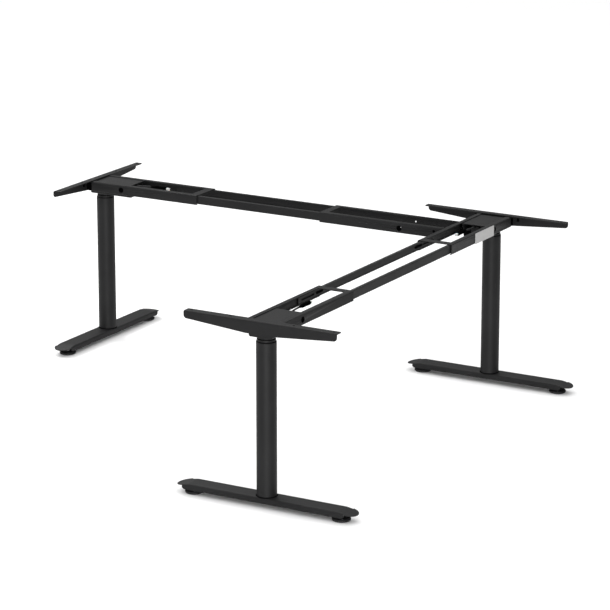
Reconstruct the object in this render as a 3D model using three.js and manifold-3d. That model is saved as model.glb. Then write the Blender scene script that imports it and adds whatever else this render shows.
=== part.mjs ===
// Frame of an L-shaped, three-leg, electrically height adjustable standing desk.
// Units are millimetres, +Z is up, and the frame stands on Z = 0 at its lowest height.
//
// Every leg is modelled once, in its own axes: the column stands on the local origin, +X points
// inward along the beam that the leg carries, and the foot and the desktop bracket lie along Y.
import * as THREE from "three";
import { mergeVertices } from "three/addons/utils/BufferGeometryUtils.js";
import Module from "manifold-3d";

// ---------------------------------------------------------------- driving dimensions
const LONG_SPAN = 1620; // corner column to left column, along X
const LONG_SETBACK = 204; // the long beam runs this far in front of the corner column
const SHORT_SPAN = 1682; // corner column to front column, along Y
const GAP = 0.3; // clearance between pieces that touch
const ROUND = 24; // sides of the column tubes
const SMALL_ROUND = 16; // sides of shafts, bosses, cable holes and the motor
const HOLE_ROUND = 10; // sides of screw holes

const FOOT = { length: 700, width: 75, top: 38.3, skirt: 18.1, sheet: 2.5, corner: 36 };
const NOSE = { start: 292, drop: 10, skirtEnd: 316 }; // the ends of the foot bend down
const BOSS = { radius: 9, bottom: 20 }; // threaded boss under the foot, for a glide's stem
const GLIDE = {
  radius: 32.6, height: 10, edge: 3, offset: 288.5, hub: 9, hubTop: 15, stem: 4, stemTop: 34.2, bore: 4.6,
};

const OUTER_TUBE = { outer: 35, inner: 33.5, bottom: FOOT.top + GAP, top: 579.4 };
const MID_TUBE = { outer: 32.5, inner: 31, bottom: 50, top: 588.8 };
const INNER_TUBE = { outer: 30, inner: 28.5, bottom: 70, top: 599.2 };
const COLLAR = { flange: 3, sleeve: 40, play: 0.2 };

const STAND_PIPE = { outer: 18, inner: 14, top: 530, nut: 15, bore: 12.6 };
const PUSH_PIPE = { outer: 22, inner: 20, top: 560, nut: 15, bore: 7.6, floor: 5, opening: 19 };
const LOWER_SPINDLE = { outer: 12, inner: 8, bottom: 75, top: 540 };
const UPPER_SPINDLE = { outer: 7, bottom: 130, top: 628 };

const RAIL = { half: 70.7, bottom: 614.2, top: 653, sheet: 2.5, flange: 20, lip: 7.5 };
const HEAD = { start: -44.2, wallStart: -18, end: 472, strap: 32 };
const CABLE_HOLE = { along: 121, up: 634, channelUp: 632, radius: 10 };
const COVER = { end: 150, half: 67.9, sheet: 2.5 };
const TRAY = { start: -38, end: 147, half: 46, bottom: 599.5, sheet: 2, shaftHole: 14 };
const GEARBOX = { start: -31, end: 45, half: 30, bottom: 602, top: 646.5, chamfer: 6, bore: 8, boreEnd: 630.5 };
const MOTOR = { axis: 625, radius: 21, can: 80, cap: 20, capLength: 15 };
const PLUG = { stem: 3.5, stemAxis: 641, body: 7.5, bodyAxis: 644, start: 232, end: 290, tip: 306, tipRadius: 5.5 };

const BRACKET = {
  outside: 48, sheet: 3.5, flange: 32.8, half: 295, top: 656.8, deep: 612, shallow: 631, flat: 55, round: 12,
};
// Holes for the desktop screws: places along the bracket, and distance from the web's outside.
const FLANGE_HOLES = { along: [-275, -122, 122, 275], across: 19.4, radius: 4.5 };

const MID_RAIL = { half: 65, bottom: 617.5, top: 649.7, sheet: 2, flange: 14, lip: 4 };
const SLOT = { inset: 20, length: 90, height: 8, up: 632 }; // adjusting slots of the short rails
const LONG_RAIL = { start: 297, length: 1240 }; // start is measured from the left column
const SHORT_RAIL = { fromCorner: 339, fromFront: 322 }; // measured from the two columns
const CHANNEL = { half: 69, bottom: 613.2, start: -598, end: -71, strap: 30, endPlate: 3, hole: -254 };
const PLATE = { start: 128, end: 282, bottom: 612.8, top: 653.4, thickness: 1 };

// The finished frame is moved so that the centre of its footprint lies on the origin.
const X_RANGE = [-LONG_SPAN - BRACKET.outside, FOOT.length / 2];
const Y_RANGE = [-SHORT_SPAN - BRACKET.outside, FOOT.length / 2 - LONG_SETBACK];

// ---------------------------------------------------------------- materials
const finish = (color, roughness, metalness) => () =>
  new THREE.MeshStandardMaterial({ color, roughness, metalness });
const blackCoat = finish(0x1b1b1c, 0.45, 0.3);
const blackPlastic = finish(0x101011, 0.5, 0);
const zincSteel = finish(0xb4b7bb, 0.35, 0.9);
const castAlloy = finish(0x8d8f92, 0.5, 0.8);
const satinPlate = finish(0xcfd0d2, 0.4, 0.6);

// ---------------------------------------------------------------- solid helpers
const wasm = await Module();
wasm.setup();

/** Welds a closed three.js geometry into a solid, with its faces turned outward. */
function solidOf(geometry) {
  const bare = geometry.clone();
  bare.deleteAttribute("normal");
  bare.deleteAttribute("uv");
  const merged = mergeVertices(bare, 1e-4);
  const position = merged.getAttribute("position").array;
  const corner = (i) => new THREE.Vector3().fromArray(position, 3 * i);
  const faces = [];
  let volume = 0;
  for (let i = 0; i < merged.index.count; i += 3) {
    const [a, b, c] = [0, 1, 2].map((k) => merged.index.getX(i + k));
    if (a === b || b === c || c === a) continue;
    faces.push([a, b, c]);
    volume += corner(a).dot(corner(b).cross(corner(c)));
  }
  const outward = volume > 0 ? faces : faces.map(([a, b, c]) => [a, c, b]);
  return new wasm.Manifold(new wasm.Mesh({
    numProp: 3,
    vertProperties: new Float32Array(position),
    triVerts: new Uint32Array(outward.flat()),
  }));
}

function geometryOf(solid) {
  const mesh = solid.getMesh();
  const geometry = new THREE.BufferGeometry();
  geometry.setAttribute("position", new THREE.BufferAttribute(new Float32Array(mesh.vertProperties), 3));
  geometry.setIndex(new THREE.BufferAttribute(new Uint32Array(mesh.triVerts), 1));
  return geometry;
}

const join = (...geometries) => geometryOf(geometries.map(solidOf).reduce((a, b) => a.add(b)));
const cut = (geometry, ...tools) =>
  geometryOf(tools.map(solidOf).reduce((a, b) => a.subtract(b), solidOf(geometry)));
const common = (a, b) => geometryOf(solidOf(a).intersect(solidOf(b)));

/** Box between two corners. */
function block([x0, y0, z0], [x1, y1, z1]) {
  const box = new THREE.BoxGeometry(x1 - x0, y1 - y0, z1 - z0);
  return box.translate((x0 + x1) / 2, (y0 + y1) / 2, (z0 + z1) / 2);
}

/** Turned solid about Z from a closed profile of [radius, z] points. */
function turned(profile, sides) {
  const points = [...profile, profile[0]].map(([r, z]) => new THREE.Vector2(r, z));
  return new THREE.LatheGeometry(points, sides).rotateX(Math.PI / 2);
}

const tube = ({ outer, inner, bottom, top }, sides = ROUND) =>
  turned([[inner, bottom], [outer, bottom], [outer, top], [inner, top]], sides);

/** Cylinder of a given radius along X, Y or Z that starts at a point. */
function rod(axis, [x, y, z], length, radius, sides = SMALL_ROUND) {
  const cylinder = new THREE.CylinderGeometry(radius, radius, length, sides);
  cylinder.translate(0, length / 2, 0);
  if (axis === "x") cylinder.rotateZ(-Math.PI / 2);
  if (axis === "z") cylinder.rotateX(Math.PI / 2);
  return cylinder.translate(x, y, z);
}

const outline = (points) => new THREE.Shape(points.map(([a, b]) => new THREE.Vector2(a, b)));
const extrude = (shape, depth) =>
  new THREE.ExtrudeGeometry(shape, { depth, bevelEnabled: false, curveSegments: 5 });

/** Turns an extrusion so that its drawing axes and its depth lie along three named axes. */
function laid(geometry, drawingX, drawingY, depth) {
  const axis = { x: [1, 0, 0], y: [0, 1, 0], z: [0, 0, 1], "-y": [0, -1, 0] };
  const [a, b, c] = [drawingX, drawingY, depth].map((name) => new THREE.Vector3(...axis[name]));
  return geometry.applyMatrix4(new THREE.Matrix4().makeBasis(a, b, c));
}

const alongX = (shape, x0, x1) => laid(extrude(shape, x1 - x0), "y", "z", "x").translate(x0, 0, 0);
const acrossY = (shape, half) => laid(extrude(shape, 2 * half), "x", "z", "-y").translate(0, half, 0);

function roundedRectangle(halfX, halfY, radius) {
  const shape = new THREE.Shape();
  shape.absarc(halfX - radius, halfY - radius, radius, 0, Math.PI / 2);
  shape.absarc(radius - halfX, halfY - radius, radius, Math.PI / 2, Math.PI);
  shape.absarc(radius - halfX, radius - halfY, radius, Math.PI, 1.5 * Math.PI);
  shape.absarc(halfX - radius, radius - halfY, radius, 1.5 * Math.PI, 2 * Math.PI);
  return shape;
}

/** Folded C-section, open towards the beam's centre line; side is +1 or -1. */
function railSection({ half, bottom, top, sheet, flange, lip }, side) {
  return outline([
    [half, bottom], [half, top], [half - flange, top], [half - flange, top - sheet],
    [half - sheet, top - sheet], [half - sheet, bottom + sheet], [half - lip, bottom + sheet],
    [half - lip, bottom],
  ].map(([y, z]) => [side * y, z]));
}

// ---------------------------------------------------------------- foot and glides
/** Folded sheet foot: a flat top with a skirt on both sides and noses that bend down. */
function footGeometry() {
  const end = FOOT.length / 2;
  const beyond = end + 5;
  const slope = NOSE.drop / (end - NOSE.start);
  const fall = slope * (beyond - NOSE.start);
  const surface = (z) => [[-beyond, z - fall], [-NOSE.start, z], [NOSE.start, z], [beyond, z - fall]];
  const top = acrossY(outline([[-beyond, 0], ...surface(FOOT.top), [beyond, 0]]), FOOT.width);
  const plan = extrude(roundedRectangle(end, FOOT.width / 2, FOOT.corner), FOOT.top - FOOT.skirt);
  const shell = common(top, plan.translate(0, 0, FOOT.skirt));

  const ceiling = FOOT.top - FOOT.sheet;
  const hollow = acrossY(
    outline([[-beyond, 0], ...surface(ceiling), [beyond, 0]]),
    FOOT.width / 2 - FOOT.sheet,
  );
  const skirtTop = ceiling - slope * (NOSE.skirtEnd - NOSE.start);
  const noseCuts = [-1, 1].map((side) => acrossY(outline([
    [side * NOSE.skirtEnd, 0], [side * NOSE.skirtEnd, skirtTop], [side * beyond, ceiling - fall],
    [side * beyond, 0],
  ]), FOOT.width));
  const bossLength = FOOT.top - FOOT.sheet / 2 - BOSS.bottom;
  const threadLength = GLIDE.stemTop + 2 * GAP - BOSS.bottom + 1;
  const bosses = [-1, 1].map((side) =>
    rod("z", [side * GLIDE.offset, 0, BOSS.bottom], bossLength, BOSS.radius));
  const threads = [-1, 1].map((side) =>
    rod("z", [side * GLIDE.offset, 0, BOSS.bottom - 1], threadLength, GLIDE.bore));
  const foot = cut(join(cut(shell, hollow, ...noseCuts), ...bosses), ...threads);
  return foot.rotateZ(Math.PI / 2);
}

/** Levelling glide: a round pad on a threaded stem, with its lock nut. */
function glideGeometry() {
  const { radius, height, edge, hub, hubTop, stem, stemTop } = GLIDE;
  return turned([
    [0, 0], [radius - edge, 0], [radius, edge], [radius, height - edge], [radius - edge, height],
    [hub, height + 1], [hub, hubTop], [stem, hubTop], [stem, stemTop], [0, stemTop],
  ], ROUND);
}

// ---------------------------------------------------------------- telescopic column
/** Plastic guide collar on the top of a tube, with a sleeve in the play between two tubes. */
function collarGeometry(tubeBelow, tubeInside) {
  const { flange, sleeve, play } = COLLAR;
  const [inside, outside] = [tubeInside.outer + play, tubeBelow.inner - play];
  const seat = tubeBelow.top + GAP;
  return turned([
    [inside, tubeBelow.top - sleeve], [outside, tubeBelow.top - sleeve], [outside, seat],
    [tubeBelow.outer, seat], [tubeBelow.outer, seat + flange - GAP], [inside, seat + flange - GAP],
  ], ROUND);
}

/** Middle stage: the tube, its floor, and the push pipe that ends in the upper spindle's nut. */
function midTubeGeometry() {
  const { outer, inner, bottom, top } = MID_TUBE;
  const floor = bottom + PUSH_PIPE.floor;
  return turned([
    [PUSH_PIPE.opening, bottom], [outer, bottom], [outer, top], [inner, top], [inner, floor],
    [PUSH_PIPE.outer, floor], [PUSH_PIPE.outer, PUSH_PIPE.top], [PUSH_PIPE.bore, PUSH_PIPE.top],
    [PUSH_PIPE.bore, PUSH_PIPE.top - PUSH_PIPE.nut], [PUSH_PIPE.inner, PUSH_PIPE.top - PUSH_PIPE.nut],
    [PUSH_PIPE.inner, floor], [PUSH_PIPE.opening, floor],
  ], ROUND);
}

/** Pipe that stands on the foot and carries the lower spindle's nut at its top. */
function standPipeGeometry() {
  const { outer, inner, top, nut, bore } = STAND_PIPE;
  const bottom = FOOT.top + GAP;
  return turned([
    [inner, bottom], [outer, bottom], [outer, top], [bore, top], [bore, top - nut], [inner, top - nut],
  ], SMALL_ROUND);
}

const upperSpindleGeometry = () =>
  rod("z", [0, 0, UPPER_SPINDLE.bottom], UPPER_SPINDLE.top - UPPER_SPINDLE.bottom, UPPER_SPINDLE.outer);

// ---------------------------------------------------------------- drive in the head
/** Pressed tray that closes the head under the gearbox and motor. */
function trayGeometry() {
  const { start, end, half, bottom, sheet, shaftHole } = TRAY;
  const top = RAIL.top - RAIL.sheet - 2 * GAP - COVER.sheet;
  const inside = block([start + sheet, sheet - half, bottom + sheet], [end + 1, half - sheet, top + 1]);
  const hole = rod("z", [0, 0, bottom - 1], sheet + 2, shaftHole);
  return cut(block([start, -half, bottom], [end, half, top]), inside, hole);
}

function gearboxGeometry() {
  const { start, end, half, bottom, top, chamfer, bore, boreEnd } = GEARBOX;
  const plan = outline([
    [start + chamfer, -half], [end - chamfer, -half], [end, chamfer - half], [end, half - chamfer],
    [end - chamfer, half], [start + chamfer, half], [start, half - chamfer], [start, chamfer - half],
  ]);
  const casting = extrude(plan, top - bottom).translate(0, 0, bottom);
  return cut(casting, rod("z", [0, 0, bottom - 1], boreEnd - bottom + 1, bore));
}

function motorGeometry() {
  const { axis, radius, can, cap, capLength } = MOTOR;
  const start = GEARBOX.end + GAP;
  return join(
    rod("x", [start, 0, axis], can, radius),
    rod("x", [start + can - 1, 0, axis], capLength + 1, cap),
  );
}

/** Moulded connector on its short stiff tail, out of the motor's end cap. */
function plugGeometry() {
  const start = GEARBOX.end + MOTOR.can + MOTOR.capLength + 2 * GAP;
  return join(
    rod("x", [start, 0, PLUG.stemAxis], PLUG.start + 2 - start, PLUG.stem, HOLE_ROUND),
    rod("x", [PLUG.start, 0, PLUG.bodyAxis], PLUG.end - PLUG.start, PLUG.body),
    rod("x", [PLUG.end - 1, 0, PLUG.bodyAxis], PLUG.tip - PLUG.end + 1, PLUG.tipRadius),
  );
}

// ---------------------------------------------------------------- head frame and bracket
/** Cover plate under the head's flanges, over the gearbox and motor. */
function coverGeometry() {
  const top = RAIL.top - RAIL.sheet - GAP;
  return block([HEAD.start, -COVER.half, top - COVER.sheet], [COVER.end, COVER.half, top]);
}

/** Folded head frame: two side rails that a strap joins at the inner end. */
function headFrameGeometry() {
  const { half, top, sheet, flange } = RAIL;
  const rails = [-1, 1].map((side) => alongX(railSection(RAIL, side), HEAD.wallStart, HEAD.end));
  const tongues = [-1, 1].map((side) => {
    const [near, far] = side > 0 ? [half - flange, half] : [-half, flange - half];
    return block([HEAD.start, near, top - sheet], [HEAD.wallStart + 1, far, top]);
  });
  const strap = block([HEAD.end - HEAD.strap, 1 - half, top - sheet], [HEAD.end, half - 1, top]);
  const holes = rod("y", [CABLE_HOLE.along, -half - 1, CABLE_HOLE.up], 2 * half + 2, CABLE_HOLE.radius);
  return cut(join(...rails, ...tongues, strap), holes);
}

/** Desktop bracket: an L-section with a web that tapers towards both ends. */
function bracketGeometry() {
  const { outside, sheet, flange, half, top, deep, shallow, flat, round } = BRACKET;
  const slope = (shallow - deep) / (half - flat);
  const web = new THREE.Shape();
  web.moveTo(-half, top);
  web.lineTo(-half, shallow + round);
  web.quadraticCurveTo(-half, shallow, round - half, shallow - round * slope);
  web.lineTo(-flat, deep);
  web.lineTo(flat, deep);
  web.lineTo(half - round, shallow - round * slope);
  web.quadraticCurveTo(half, shallow, half, shallow + round);
  web.lineTo(half, top);
  const shelf = block([-outside, -half, top - sheet], [flange - outside, half, top]);
  const { along, across, radius } = FLANGE_HOLES;
  const holes = along.map((y) =>
    rod("z", [across - outside, y, top - sheet - 1], sheet + 2, radius, HOLE_ROUND));
  return cut(join(alongX(web, -outside, sheet - outside), shelf), ...holes);
}

// ---------------------------------------------------------------- beams
/** Sliding rail of a beam along X. */
const midRailGeometry = (start, end, side) => alongX(railSection(MID_RAIL, side), start, end);

/** Sliding rail with an adjusting slot at each end, which the head frames hide. */
function slottedRailGeometry(start, end, side) {
  const wall = side * (MID_RAIL.half - MID_RAIL.sheet / 2);
  const slots = [start + SLOT.inset, end - SLOT.inset - SLOT.length].map((x) => block(
    [x, wall - 2 * MID_RAIL.sheet, SLOT.up - SLOT.height / 2],
    [x + SLOT.length, wall + 2 * MID_RAIL.sheet, SLOT.up + SLOT.height / 2],
  ));
  return cut(midRailGeometry(start, end, side), ...slots);
}

/** Fixed part of the long beam, bolted to the side of the corner head. */
function channelGeometry() {
  const { half, bottom, start, end, strap, endPlate, hole } = CHANNEL;
  const section = { ...RAIL, half, bottom };
  const rails = [-1, 1].map((side) => alongX(railSection(section, side), start, end));
  const bridge = block([start, 1 - half, RAIL.top - RAIL.sheet], [start + strap, half - 1, RAIL.top]);
  const plate = block([end - endPlate, 1 - half, bottom], [end, half - 1, RAIL.top]);
  const cableHole = rod("y", [hole, -half - 1, CABLE_HOLE.channelUp], 2 * half + 2, CABLE_HOLE.radius);
  return cut(join(...rails, bridge, plate), cableHole);
}

const namePlateGeometry = () => block(
  [PLATE.start, RAIL.half + GAP, PLATE.bottom],
  [PLATE.end, RAIL.half + GAP + PLATE.thickness, PLATE.top],
);

// ---------------------------------------------------------------- assembly
function piece(name, geometry, material) {
  const mesh = new THREE.Mesh(geometry, material());
  mesh.name = name;
  return mesh;
}

function leg(name, x, y, turn) {
  const group = new THREE.Group();
  group.position.set(x, y, 0);
  group.rotation.z = turn;
  const add = (part, geometry, material) => group.add(piece(`${name}_${part}`, geometry, material));
  add("foot", footGeometry(), blackCoat);
  add("glide_a", glideGeometry().translate(0, GLIDE.offset, 0), blackPlastic);
  add("glide_b", glideGeometry().translate(0, -GLIDE.offset, 0), blackPlastic);
  add("outer_tube", tube(OUTER_TUBE), blackCoat);
  add("outer_collar", collarGeometry(OUTER_TUBE, MID_TUBE), blackPlastic);
  add("stand_pipe", standPipeGeometry(), zincSteel);
  add("mid_tube", midTubeGeometry(), blackCoat);
  add("mid_collar", collarGeometry(MID_TUBE, INNER_TUBE), blackPlastic);
  add("lower_spindle", tube(LOWER_SPINDLE, SMALL_ROUND), zincSteel);
  add("inner_tube", tube(INNER_TUBE), blackCoat);
  add("upper_spindle", upperSpindleGeometry(), zincSteel);
  add("motor_tray", trayGeometry(), blackCoat);
  add("gearbox", gearboxGeometry(), castAlloy);
  add("motor", motorGeometry(), zincSteel);
  add("motor_plug", plugGeometry(), blackPlastic);
  add("cover_plate", coverGeometry(), blackCoat);
  add("head_frame", headFrameGeometry(), blackCoat);
  add("side_bracket", bracketGeometry(), blackCoat);
  return group;
}

const left = leg("left", -LONG_SPAN, -LONG_SETBACK, 0);
const corner = leg("corner", 0, 0, -Math.PI / 2);
const front = leg("front", 0, -SHORT_SPAN, Math.PI / 2);
corner.add(piece("name_plate", namePlateGeometry(), satinPlate));

const longBeam = new THREE.Group();
longBeam.position.y = -LONG_SETBACK;
const longStart = LONG_RAIL.start - LONG_SPAN;
const longEnd = longStart + LONG_RAIL.length;
longBeam.add(
  piece("long_rail_front", midRailGeometry(longStart, longEnd, -1), blackCoat),
  piece("long_rail_back", midRailGeometry(longStart, longEnd, 1), blackCoat),
  piece("long_channel", channelGeometry(), blackCoat),
);

const shortBeam = new THREE.Group();
shortBeam.rotation.z = -Math.PI / 2;
const shortStart = SHORT_RAIL.fromCorner;
const shortEnd = SHORT_SPAN - SHORT_RAIL.fromFront;
shortBeam.add(
  piece("short_rail_left", slottedRailGeometry(shortStart, shortEnd, -1), blackCoat),
  piece("short_rail_right", slottedRailGeometry(shortStart, shortEnd, 1), blackCoat),
);

const deskFrame = new THREE.Group();
deskFrame.name = "standing_desk_frame";
deskFrame.position.set(-(X_RANGE[0] + X_RANGE[1]) / 2, -(Y_RANGE[0] + Y_RANGE[1]) / 2, 0);
deskFrame.add(left, corner, front, longBeam, shortBeam);

export default deskFrame;
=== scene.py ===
from math import cos, pi, radians, sin, sqrt, tan

import bmesh
import bpy
from mathutils import Matrix, Vector


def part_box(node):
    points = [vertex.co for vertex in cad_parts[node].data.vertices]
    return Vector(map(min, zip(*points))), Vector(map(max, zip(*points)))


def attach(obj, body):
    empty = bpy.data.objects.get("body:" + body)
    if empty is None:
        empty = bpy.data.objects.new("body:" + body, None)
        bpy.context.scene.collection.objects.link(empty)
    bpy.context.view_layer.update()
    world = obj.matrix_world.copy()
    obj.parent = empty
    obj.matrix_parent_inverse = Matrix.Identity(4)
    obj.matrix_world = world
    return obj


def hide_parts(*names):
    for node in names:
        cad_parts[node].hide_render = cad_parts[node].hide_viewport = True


# The looks of an L-shaped, three-leg standing desk frame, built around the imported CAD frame.
# Shapes are drawn in millimetres in the axes of one leg: its column stands on the origin, +X points
# inward along the beam that the leg carries, and the foot and the desktop bracket lie along Y.

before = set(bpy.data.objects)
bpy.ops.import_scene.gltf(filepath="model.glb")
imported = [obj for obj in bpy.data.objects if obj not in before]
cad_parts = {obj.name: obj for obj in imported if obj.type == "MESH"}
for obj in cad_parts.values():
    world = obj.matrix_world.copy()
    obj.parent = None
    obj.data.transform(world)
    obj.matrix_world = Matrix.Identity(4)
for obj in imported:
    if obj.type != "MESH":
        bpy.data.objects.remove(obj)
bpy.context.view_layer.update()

MM = 0.001
TURNS = {"left": 0, "corner": -90, "front": 90}  # degrees from a leg's axes to the row frame


# ---------------------------------------------------------------- places and sizes from the frame
def leg_place(leg):
    """Matrix from the axes of a leg, in millimetres, to the row frame, in metres."""
    low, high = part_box(f"{leg}_outer_tube")
    centre = (low + high) / 2
    turn = Matrix.Rotation(radians(TURNS[leg]), 4, "Z")
    return Matrix.Translation((centre.x, centre.y, 0)) @ turn @ Matrix.Scale(MM, 4)


PLACES = {leg: leg_place(leg) for leg in TURNS}


def span(node, leg):
    """Lowest and highest corner of a CAD node, in millimetres, in the axes of a leg."""
    ends = [PLACES[leg].inverted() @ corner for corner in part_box(node)]
    low = Vector([min(a, b) for a, b in zip(*ends)])
    high = Vector([max(a, b) for a, b in zip(*ends)])
    return low, high


def leg_span(part):
    return span(f"left_{part}", "left")


# ---------------------------------------------------------------- drawing in two dimensions
def rounded(points, radius, steps=5):
    """Closed outline with its corners turned into arcs, of one radius or one for each corner."""
    radii = radius if isinstance(radius, (list, tuple)) else [radius] * len(points)
    outline = []
    for i, (point, r) in enumerate(zip(points, radii)):
        corner = Vector(point)
        back = Vector(points[i - 1]) - corner
        ahead = Vector(points[(i + 1) % len(points)]) - corner
        half_angle = back.angle(ahead) / 2
        if r == 0 or half_angle > radians(89):
            outline.append(corner)
            continue
        reach = min(r / tan(half_angle), back.length / 2, ahead.length / 2)
        r = reach * tan(half_angle)
        centre = corner + (back.normalized() + ahead.normalized()).normalized() * (r / sin(half_angle))
        first = corner + back.normalized() * reach - centre
        last = corner + ahead.normalized() * reach - centre
        sweep = first.angle(last)
        for k in range(steps + 1):
            a, b = sin(sweep * (1 - k / steps)), sin(sweep * k / steps)
            outline.append(centre + (first * a + last * b) / sin(sweep))
    return [tuple(p) for p in outline]


def folded(corners, sheet, inside_radius, steps=6):
    """Closed outline of a folded sheet whose outside runs through these corners, all turning one way."""
    points = [Vector(c) for c in corners]
    first, second = points[1] - points[0], points[2] - points[1]
    turn = 1 if first.cross(second) > 0 else -1

    def inward(direction):
        return Vector((-direction.y, direction.x)) * turn

    outer, inner = [], []
    start = (points[1] - points[0]).normalized()
    finish = (points[-1] - points[-2]).normalized()
    outer.append(points[0])
    inner.append(points[0] + inward(start) * sheet)
    for before, corner, after in zip(points, points[1:], points[2:]):
        come, go = (corner - before).normalized(), (after - corner).normalized()
        bend = come.angle(go)
        outside_radius = inside_radius + sheet
        centre = corner - come * outside_radius * tan(bend / 2) + inward(come) * outside_radius
        for k in range(steps + 1):
            spoke = Matrix.Rotation(turn * bend * k / steps, 2) @ -inward(come)
            outer.append(centre + spoke * outside_radius)
            inner.append(centre + spoke * inside_radius)
    outer.append(points[-1])
    inner.append(points[-1] + inward(finish) * sheet)
    return [tuple(p) for p in outer + inner[::-1]]


def rectangle(x0, y0, x1, y1):
    return [(x0, y0), (x1, y0), (x1, y1), (x0, y1)]


def polygon(sides, radius, start=0.0):
    angles = [start + 2 * pi * k / sides for k in range(sides)]
    return [(radius * cos(a), radius * sin(a)) for a in angles]


def hexagon(across_flats):
    return polygon(6, across_flats / sqrt(3))


def slot_outline(x0, x1, up, height):
    """Long hole with round ends, along the first drawing axis."""
    return rounded(rectangle(x0, up - height / 2, x1, up + height / 2), height / 2 - 0.01)


# ---------------------------------------------------------------- solids
def solid(vertices, faces):
    mesh = bpy.data.meshes.new("shape")
    mesh.from_pydata([tuple(v) for v in vertices], [], faces)
    shell = bmesh.new()
    shell.from_mesh(mesh)
    bmesh.ops.recalc_face_normals(shell, faces=shell.faces)
    shell.to_mesh(mesh)
    shell.free()
    return mesh


DRAWING_AXES = {
    "x": lambda a, b, along: (along, a, b),
    "y": lambda a, b, along: (a, along, b),
    "z": lambda a, b, along: (a, b, along),
}


def prism(outline, axis, start, end):
    """Solid along an axis from an outline drawn in the other two axes, in alphabetical order."""
    n = len(outline)
    vertices = [DRAWING_AXES[axis](a, b, along) for along in (start, end) for a, b in outline]
    walls = [(i, (i + 1) % n, n + (i + 1) % n, n + i) for i in range(n)]
    return solid(vertices, [tuple(range(n)), tuple(range(n, 2 * n))] + walls)


def turned(profile, sides=96):
    """Solid of revolution about Z from a closed profile of (radius, z) points."""
    vertices, rings, faces = [], [], []
    for radius, z in profile:
        count = 1 if radius < 1e-6 else sides
        rings.append(range(len(vertices), len(vertices) + count))
        vertices += [
            (radius * cos(2 * pi * k / sides), radius * sin(2 * pi * k / sides), z)
            for k in range(count)
        ]
    for ring, following in zip(rings, rings[1:] + rings[:1]):
        for k in range(sides):
            around = (k, (k + 1) % sides)
            corners = [ring[j % len(ring)] for j in around]
            corners += [following[j % len(following)] for j in around[::-1]]
            face = list(dict.fromkeys(corners))
            if len(face) > 2:
                faces.append(face)
    return solid(vertices, faces)


def tube(inner, outer, bottom, top, edge=0.4, sides=96):
    return turned(rounded(
        [(inner, bottom), (outer, bottom), (outer, top), (inner, top)], edge, 3), sides)


def threaded(radius, depth, lead, bottom, top, sides=32, bore=0.0):
    """Rod with a trapezoidal screw thread, hollow where it has a bore."""
    steps_per_turn = 8
    count = round((top - bottom) / lead * steps_per_turn)
    vertices, faces = [], []
    for i in range(count + 1):
        z = bottom + (top - bottom) * i / count
        for k in range(sides):
            phase = (z / lead - k / sides) % 1
            tooth = min(1, max(0, 4 * abs(phase - 0.5) - 0.5))
            r = radius - depth * tooth
            vertices.append((r * cos(2 * pi * k / sides), r * sin(2 * pi * k / sides), z))
    for i in range(count):
        for k in range(sides):
            a, b = i * sides + k, i * sides + (k + 1) % sides
            faces.append((a, b, b + sides, a + sides))
    ends = [list(range(sides)), list(range(count * sides, (count + 1) * sides))]
    if not bore:
        return solid(vertices, faces + ends)
    base = len(vertices)
    for z in (bottom, top):
        vertices += [(bore * cos(2 * pi * k / sides), bore * sin(2 * pi * k / sides), z)
                     for k in range(sides)]
    inner = [list(range(base, base + sides)), list(range(base + sides, base + 2 * sides))]
    pairs = [(ends[0], inner[0]), (inner[0], inner[1]), (inner[1], ends[1])]
    for ring, following in pairs:
        for k in range(sides):
            after = (k + 1) % sides
            faces.append((ring[k], ring[after], following[after], following[k]))
    return solid(vertices, faces)


def moved(mesh, x=0.0, y=0.0, z=0.0, along="z"):
    """Turns a solid drawn about Z so that it points along another axis, and moves it."""
    turns = {
        "z": Matrix.Identity(4),
        "-z": Matrix.Rotation(pi, 4, "X"),
        "x": Matrix.Rotation(pi / 2, 4, "Y"),
        "-x": Matrix.Rotation(-pi / 2, 4, "Y"),
        "y": Matrix.Rotation(-pi / 2, 4, "X"),
        "-y": Matrix.Rotation(pi / 2, 4, "X"),
    }
    mesh.transform(Matrix.Translation((x, y, z)) @ turns[along])
    return mesh


def together(*meshes):
    """One mesh that holds separate solids."""
    group = bmesh.new()
    for mesh in meshes:
        group.from_mesh(mesh)
    result = bpy.data.meshes.new("group")
    group.to_mesh(result)
    group.free()
    return result


def scratch_object(mesh):
    obj = bpy.data.objects.new("scratch", mesh)
    bpy.context.scene.collection.objects.link(obj)
    return obj


def applied(obj):
    """Mesh of a scratch object with its modifiers applied; the object is removed."""
    graph = bpy.context.evaluated_depsgraph_get()
    mesh = bpy.data.meshes.new_from_object(obj.evaluated_get(graph))
    bpy.data.objects.remove(obj)
    return mesh


def combined(base, operation, tools):
    obj = scratch_object(base)
    helpers = [scratch_object(tool) for tool in tools]
    for helper in helpers:
        step = obj.modifiers.new("combine", "BOOLEAN")
        step.operation = operation
        step.solver = "EXACT"
        step.object = helper
    mesh = applied(obj)
    for helper in helpers:
        bpy.data.objects.remove(helper)
    return mesh


def fused(base, *tools):
    return combined(base, "UNION", tools)


def carved(base, *tools):
    return combined(base, "DIFFERENCE", [together(*tools)])


def common(base, tool):
    return combined(base, "INTERSECT", [tool])


def softened(mesh, width, segments=2, angle=40):
    """Rounds the sharp edges, and shades the result smooth with its flat faces kept flat."""
    mesh.shade_smooth()
    obj = scratch_object(mesh)
    if width:
        edge = obj.modifiers.new("edge", "BEVEL")
        edge.width = width
        edge.segments = segments
        edge.angle_limit = radians(angle)
    normals = obj.modifiers.new("normals", "WEIGHTED_NORMAL")
    normals.keep_sharp = True
    return applied(obj)


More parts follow.
